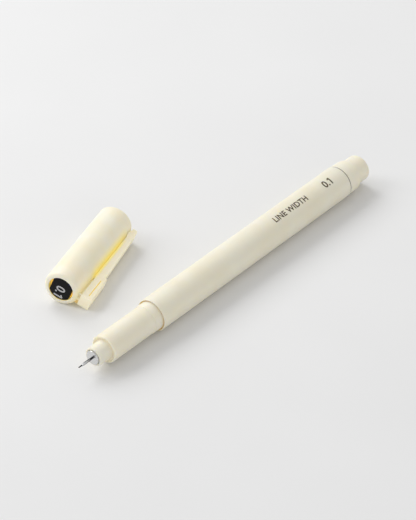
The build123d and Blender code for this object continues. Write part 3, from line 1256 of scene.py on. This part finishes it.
@dataclass
class Cap:
    """The cap shell, badge, inner cap and clip, built along the cap's own axis."""

    length: float = 38.4
    radius: float = 5.7
    bore: float = 4.8
    end_hole: float = 4.08
    end_hole_round: float = 0.06
    end_wall: float = 1.7
    seat: float = 4.6
    seat_start: float = 16.8
    end_hole_slope: float = 0.1
    vent_start: float = 0.08
    vent_depth: float = 3.4
    end_round: float = 1.15
    mouth_round: float = 0.25
    mouth_chamfer: float = 0.25
    rib_start: float = 0.6
    rib_length: float = 9.7
    rib_height: float = 1.05
    rib_width: float = 1.1
    rib_sunk: float = 0.4
    rib_edge: float = 0.08
    wall_start: float = 0.55
    wall_length: float = 0.55
    wall_foot: float = 4.8
    wall_top: float = 6.37
    wall_half: float = 2.0
    pocket_out: Pair = (5.3, 6.33)
    pocket_across: Pair = (0.3, 1.93)
    pocket_depth: float = 0.3
    pocket_slope: float = 0.08
    badge: float = 4.0
    badge_depth: float = 1.5
    badge_flats: float = 3.3
    badge_face: float = 0.15
    badge_edge: float = 0.16
    digits_height: float = 3.0
    digits_bold: float = 0.014
    digits_relief: float = 0.01
    digits_shift: float = 1.15
    place: Matrix = field(default_factory=Matrix)

    def __post_init__(self) -> None:
        """Finds the cap's own frame: X to its mouth, Y to the clip, Z across."""
        mouth = next(m for m in frame["record"]["mounts"] if m["name"] == "cap_mouth")
        flex = next(j for j in frame["joints"] if j["name"] == "clip_flex")
        along = Vector(mouth["axis"]).normalized()
        across = Vector(flex["axis"]).normalized()
        out = across.cross(along)
        end = Vector(mouth["pos_m"]) - along * (self.length - self.mouth_chamfer) * MM
        turn = Matrix((along, out, across)).transposed().to_4x4()
        self.place = Matrix.Translation(end) @ turn

    def build(self) -> None:
        """Makes every piece of the cap, and its clip."""
        # Painted glow: the shell turns amber and emits along the gap under the clip, standing in for light passing
        # through the thin wall.
        painted_glow_zone = PaintedGlowZone(
            self.place,
            along_start=(9.2, 12.5),
            along_end=(37.0, 31.0),
            out=(3.7, 5.5),
            least=0.45,
        )
        cream, painted_amber = replace(CAP_CREAM, zone=painted_glow_zone).build(), PAINTED_AMBER_GLOW.build()
        self.build_shell(cream, painted_amber)
        self.build_rib(cream, painted_amber)
        self.build_root_wall(cream)
        self.build_badge()
        # Painted glow: the inner cap turns amber and emits behind the badge's flats, standing in for light in its
        # vents.
        vent_painted_glow = PaintedGlowZone(
            self.place,
            along_start=(-2.0, -1.0),
            along_end=(9.0, 5.0),
            out=(-9.0, -8.0),
            colour=PAINTED_AMBER_GLOW.colour,
            painted_glow=PAINTED_AMBER_GLOW.painted_glow,
        )
        dress("inner_cap", replace(INNER_CAP, zone=vent_painted_glow).build())
        Clip(self.place).build()

    def build_shell(self, cream: bpy.types.Material, painted_amber: bpy.types.Material) -> None:
        """Makes the round shell, with a painted amber glow inside its vents.

        Args:
            cream: The finish outside.
            painted_amber: The painted amber glow in the vents.
        """
        shell = turned(
            [
                Corner(0.0, self.end_hole + self.end_hole_round, round=0.05, segments=2),
                Corner(0.0, self.radius, round=self.end_round, segments=9),
                Corner(self.length, self.radius, round=self.mouth_round, segments=4),
                Corner(self.length, self.bore + self.mouth_chamfer, round=0.06, segments=2),
                Corner(self.length - self.mouth_chamfer, self.bore),
                Corner(self.seat_start, self.bore),
                Corner(self.seat_start, self.seat),
                Corner(self.vent_depth, self.seat),
                Corner(self.end_wall, self.seat),
                Corner(self.end_wall, self.end_hole),
                Corner(self.end_hole_slope, self.end_hole),
            ],
            closed=True,
        )
        # Painted glow: the vents' inner faces take the amber glow.
        for face in shell.faces:
            centre = face.calc_center_median() / MM
            inside = math.hypot(centre.y, centre.z) < self.bore + SLACK
            if inside and self.vent_start < centre.x < self.vent_depth:
                face.material_index = 1
        self.add("cap_tube", shell, cream, "cap_cream", "cap_shell", (painted_amber,))

    def build_rib(self, cream: bpy.types.Material, painted_amber: bpy.types.Material) -> None:
        """Makes the web under the clip's root, with a painted amber glow on its side towards the table.

        Args:
            cream: The finish of the web.
            painted_amber: The painted glow on its side towards the table.
        """
        foot = self.radius - self.rib_sunk
        rib = block((self.rib_start, foot, 0), (self.rib_length, self.rib_height, self.rib_width))
        round_edges(rib, rib.edges[:], self.rib_edge, 3)
        # Painted glow: the faces towards the table take the amber glow.
        for face in rib.faces:
            if face.normal.z > FACING:
                face.material_index = 1
        self.add("cap_clip_rib", rib, cream, "cap_cream", "", (painted_amber,))

    def build_root_wall(self, cream: bpy.types.Material) -> None:
        """Makes the wall that joins the shell to the clip's root, with its two sunk pockets: painted amber glow in
        the lower one, painted shade in the upper one.

        Args:
            cream: The finish of the wall.
        """
        height = self.wall_top - self.wall_foot
        wall = block(
            (self.wall_start, self.wall_foot, 0), (self.wall_length, height, 2 * self.wall_half)
        )
        for out in self.pocket_out:
            cut(wall, (0, out, 0), (0, 1, 0))
        for across in self.pocket_across:
            for side in (-1, 1):
                cut(wall, (0, 0, side * across), (0, 0, 1))
        # Painted light: the lower pocket takes the amber glow, the upper one a darker painted shade with a faint
        # glow.
        for face in [face for face in wall.faces if self.is_pocket(face)]:
            index = 1 if face.calc_center_median().z > 0 else 2
            sunk = bmesh.ops.inset_individual(
                wall,
                faces=[face],
                thickness=self.pocket_slope * MM,
                depth=-self.pocket_depth * MM,
            )
            for part in [face, *sunk["faces"]]:
                part.material_index = index
        lower, upper = RECESS_PAINTED_AMBER_GLOW.build(), POCKET_PAINTED_SHADE.build()
        self.add("cap_root_wall", wall, cream, "cap_cream", "", (lower, upper))

    def is_pocket(self, face: bmesh.types.BMFace) -> bool:
        """Tells whether a face of the root wall is one of its two pockets.

        Args:
            face: A face of the wall, after its cuts.

        Returns:
            True for the two faces that are sunk.
        """
        middle = face.calc_center_median() / MM
        across = self.pocket_across[0] < abs(middle.z) < self.pocket_across[1]
        out = self.pocket_out[0] < middle.y < self.pocket_out[1]
        return face.normal.x < -FACING and across and out

    def build_badge(self) -> None:
        """Makes the black badge with its two flats, and the number on it."""
        disc = turned(
            [
                Corner(self.badge_face, 0.0),
                Corner(self.badge_face, self.badge, round=self.badge_edge, segments=4),
                Corner(self.badge_face + self.badge_depth, self.badge),
                Corner(self.badge_face + self.badge_depth, 0.0),
            ],
            closed=False,
        )
        for side in (-1, 1):
            cut(disc, (0, side * self.badge_flats, 0), (0, side, 0), clear_outer=True)
            bmesh.ops.holes_fill(disc, edges=[e for e in disc.edges if e.is_boundary])
        bmesh.ops.recalc_face_normals(disc, faces=disc.faces)
        self.add("badge_disc", disc, BADGE.build(), "badge_black", "badge_plug")
        digits = Lettering("0.1", self.digits_height, self.digits_bold, self.digits_relief).build()
        facing = Matrix.Rotation(math.radians(-90), 4, "Y")
        shift = Matrix.Translation(Vector((self.badge_face, 0, self.digits_shift)) * MM)
        bmesh.ops.transform(digits, matrix=shift @ facing, verts=digits.verts)
        self.add("badge_number", digits, BADGE_INK.build(), "badge_black")

    def add(
        self,
        name: str,
        bm: bmesh.types.BMesh,
        finish: bpy.types.Material,
        slot: str,
        stands_for: str = "",
        extra: tuple[bpy.types.Material, ...] = (),
    ) -> None:
        """Adds a piece that is built in the cap's own frame.

        Args:
            name: The piece's name.
            bm: Its shape, freed afterwards.
            finish: Its material.
            slot: The record's material slot; not used.
            stands_for: The CAD node it replaces, if it replaces one.
            extra: More materials, for faces with material index 1 and up.
        """
        piece(name, bm, finish, "cap", stands_for, self.place, extra)


@dataclass
class Clip:
    """The slotted pocket clip, cut from one outline in the cap's frame."""

    place: Matrix
    width: float = 4.3
    edge: float = 0.2
    slot_edge: float = 0.05
    edge_strips: int = 4
    start: float = 0.5
    end: float = 38.0
    inner: float = 6.4
    inner_step: Pair = (0.2, 0.5)
    arm_inner: float = 6.1
    root_outer: float = 10.05
    leaf_end: float = 12.3
    leaf_end_outer: float = 9.75
    arm_outer: float = 8.95
    tip_outer: float = 7.85
    slot_start: float = 2.0
    slot_end: float = 10.4
    slot_inner: float = 8.25
    slot_width: float = 0.36
    nub_centre: float = 35.0
    nub_half: float = 1.8
    nub_peak: float = 0.58
    nub_round: float = 1.2
    tip_round: float = 0.75
    leaf_round: float = 0.12
    root_round: float = 0.2
    corner_segments: int = 6

    def build(self) -> None:
        """Cuts the outline, gives it its width, and rounds its edges."""
        bm = self.outline()
        thicken(bm, self.width)
        for in_slot, reach in ((True, self.slot_edge), (False, self.edge)):
            rims = [e for e in bm.edges if self.is_rim(e) and self.is_by_slot(e) == in_slot]
            round_edges(bm, rims, reach, self.edge_strips)
        # Painted glow: the slot's walls take the pale amber glow.
        for face in bm.faces:
            flat = abs(face.normal.z) > FACING
            if not flat and self.holds(face.calc_center_median() / MM):
                face.material_index = 1
        # Painted glow: the clip's face towards the cap turns amber and emits along the gap.
        painted_glow_zone = PaintedGlowZone(
            self.place, along_start=(9.0, 12.0), along_end=(33.0, 28.0), out=(7.0, 6.45)
        )
        cream, painted_amber = replace(CLIP_CREAM, zone=painted_glow_zone).build(), PAINTED_PALE_AMBER_GLOW.build()
        piece("pocket_clip", bm, cream, "clip", "clip", self.place, (painted_amber,))

    def outline(self) -> bmesh.types.BMesh:
        """Draws the clip's side view as two faces that share the slot's inner side.

        Returns:
            The flat outline, half the clip's width below the cap's middle.
        """
        bm = bmesh.new()
        step_start, step_end = (self.slot_end + step for step in self.inner_step)
        slot_outer = self.slot_inner + self.slot_width
        points = {
            "root_in": (self.start, self.inner),
            "root_step": (step_start, self.inner),
            "arm_step": (step_end, self.arm_inner),
            "root_mid": (self.start, self.slot_inner),
            "root_out": (self.start, self.root_outer),
            "leaf_out": (self.leaf_end, self.leaf_end_outer),
            "leaf_in": (self.leaf_end, self.arm_outer),
            "tip_out": (self.end, self.tip_outer),
            "tip_in": (self.end, self.arm_inner),
            "nub_front": (self.nub_centre + self.nub_half, self.arm_inner),
            "nub_top": (self.nub_centre, self.arm_inner - self.nub_peak),
            "nub_back": (self.nub_centre - self.nub_half, self.arm_inner),
            "slot_a": (self.slot_start, self.slot_inner),
            "slot_b": (self.slot_end, self.slot_inner),
            "slot_c": (self.slot_end, slot_outer),
            "slot_d": (self.slot_start, slot_outer),
        }
        side = -self.width / 2
        v = {name: bm.verts.new(Vector((*at, side)) * MM) for name, at in points.items()}
        arm = (
            "root_in root_mid slot_a slot_b leaf_in tip_out tip_in "
            "nub_front nub_top nub_back arm_step root_step"
        )
        leaf = "root_mid root_out leaf_out leaf_in slot_b slot_c slot_d slot_a"
        for names in (arm, leaf):
            bm.faces.new([v[name] for name in names.split()])
        rounds = {
            "nub_top": self.nub_round,
            "tip_out": self.tip_round,
            "leaf_out": self.leaf_round,
            "root_out": self.root_round,
        }
        for name, reach in rounds.items():
            round_corner(bm, v[name], reach, self.corner_segments)
        return bm

    def is_rim(self, edge: bmesh.types.BMEdge) -> bool:
        """Tells whether an edge runs between a flat side and the outline's wall.

        Args:
            edge: An edge of the thickened clip.

        Returns:
            True for an edge that gets rounded.
        """
        if len(edge.link_faces) != 2:
            return False
        first, second = (abs(face.normal.z) > FACING for face in edge.link_faces)
        return first != second

    def is_by_slot(self, edge: bmesh.types.BMEdge) -> bool:
        """True for an edge on the slot's outline."""
        return self.holds((edge.verts[0].co + edge.verts[1].co) / 2 / MM)

    def holds(self, point: Vector) -> bool:
        """Tells whether a point lies in the slot or on its wall.

        Args:
            point: A place in the cap's frame, in millimetres.

        Returns:
            True for a point that the slot holds.
        """
        along = self.slot_start - SLACK < point.x < self.slot_end + SLACK
        slot_outer = self.slot_inner + self.slot_width
        return along and self.slot_inner - SLACK < point.y < slot_outer + SLACK


# --------------------------------------------------------------------------- the table


@dataclass(frozen=True)
class SoftLight:
    """One square soft light, with its place and size as the viewer sees them, in metres."""

    name: str
    place: Triple
    size: float
    watts: float


@dataclass
class Studio:
    """The pale table, the soft light and the camera."""

    table_z: float = field(default_factory=lambda: -span("barrel", ACROSS)[1])
    table_size: float = 3000.0
    target: Triple = (-7.20, 9.65, -5.4)
    camera: Triple = (-626.9, -505.8, 586.3)
    lens: float = 223.8
    sensor: float = 36.0
    sight: Pair = (50.0, 10000.0)
    view_turn_deg: float = -50.25
    sky_colour: str = "#ffffff"
    sky_strength: float = 0.61
    lights: tuple[SoftLight, ...] = (
        SoftLight("back_softbox", (-0.45, 0.65, 0.7), 0.6, 3.8),
        SoftLight("left_softbox", (-0.9, 0.1, 0.7), 0.6, 3.5),
        SoftLight("front_card", (0.3, -0.85, 0.3), 0.4, 0.5),
    )

    def build(self) -> None:
        """Makes the table, the lights and the camera."""
        self.build_table()
        for light in self.lights:
            self.build_light(light)
        world = bpy.data.worlds.new("studio_air")
        world.use_nodes = True
        sky = world.node_tree.nodes["Background"]
        sky.inputs["Color"].default_value = srgb(self.sky_colour)
        sky.inputs["Strength"].default_value = self.sky_strength
        bpy.context.scene.world = world
        bpy.context.scene.view_settings.view_transform = "Standard"
        self.build_camera()

    def build_table(self) -> None:
        """Makes the table top, one barrel radius under the pen's axis."""
        bm = bmesh.new()
        bmesh.ops.create_grid(bm, x_segments=4, y_segments=4, size=self.table_size / 2 * MM)
        bmesh.ops.translate(bm, vec=(0, 0, self.table_z * MM), verts=bm.verts)
        mesh = bpy.data.meshes.new("table_top")
        bm.to_mesh(mesh)
        bm.free()
        mesh.materials.append(BOARD.build())
        table = bpy.data.objects.new("table_top", mesh)
        bpy.context.scene.collection.objects.link(table)

    def build_light(self, light: SoftLight) -> None:
        """Adds one soft light aimed at the pen.

        Args:
            light: The light's name, place, size and power.
        """
        data = bpy.data.lights.new(light.name, "AREA")
        data.shape = "SQUARE"
        data.size = light.size
        data.energy = light.watts
        self.aim(bpy.data.objects.new(light.name, data), self.from_view(light.place))

    def build_camera(self) -> None:
        """Adds the camera."""
        data = bpy.data.cameras.new("camera")
        data.lens = self.lens
        data.sensor_width = self.sensor
        data.clip_start, data.clip_end = (limit * MM for limit in self.sight)
        camera = bpy.data.objects.new("camera", data)
        self.aim(camera, Vector(self.camera) * MM)
        bpy.context.scene.camera = camera

    def aim(self, obj: bpy.types.Object, place: Vector) -> None:
        """Puts a light or the camera in place, looking at the target.

        Args:
            obj: The light or camera.
            place: Where it stands, in metres.
        """
        obj.location = place
        obj.rotation_mode = "QUATERNION"
        obj.rotation_quaternion = (Vector(self.target) * MM - place).to_track_quat("-Z", "Y")
        bpy.context.scene.collection.objects.link(obj)

    def from_view(self, place: Triple) -> Vector:
        """Turns a place given as seen by the viewer into the pen's frame.

        Args:
            place: Metres to the viewer's right, away from the viewer, and up.

        Returns:
            The same place in the pen's frame, in metres.
        """
        turn = Matrix.Rotation(math.radians(self.view_turn_deg), 3, "Z")
        return turn @ Vector(place) + Vector(self.target) * MM


def main() -> None:
    """Builds every part of the scene in order."""
    logging.basicConfig(level=logging.INFO, format="%(name)s: %(message)s")
    for part in (Studio(), Barrel(), Section(), Point(), Tail(), InkSupply(), Cap()):
        log.info("building %s", type(part).__name__)
        part.build()
    bpy.context.view_layer.update()


if __name__ == "__main__":
    main()
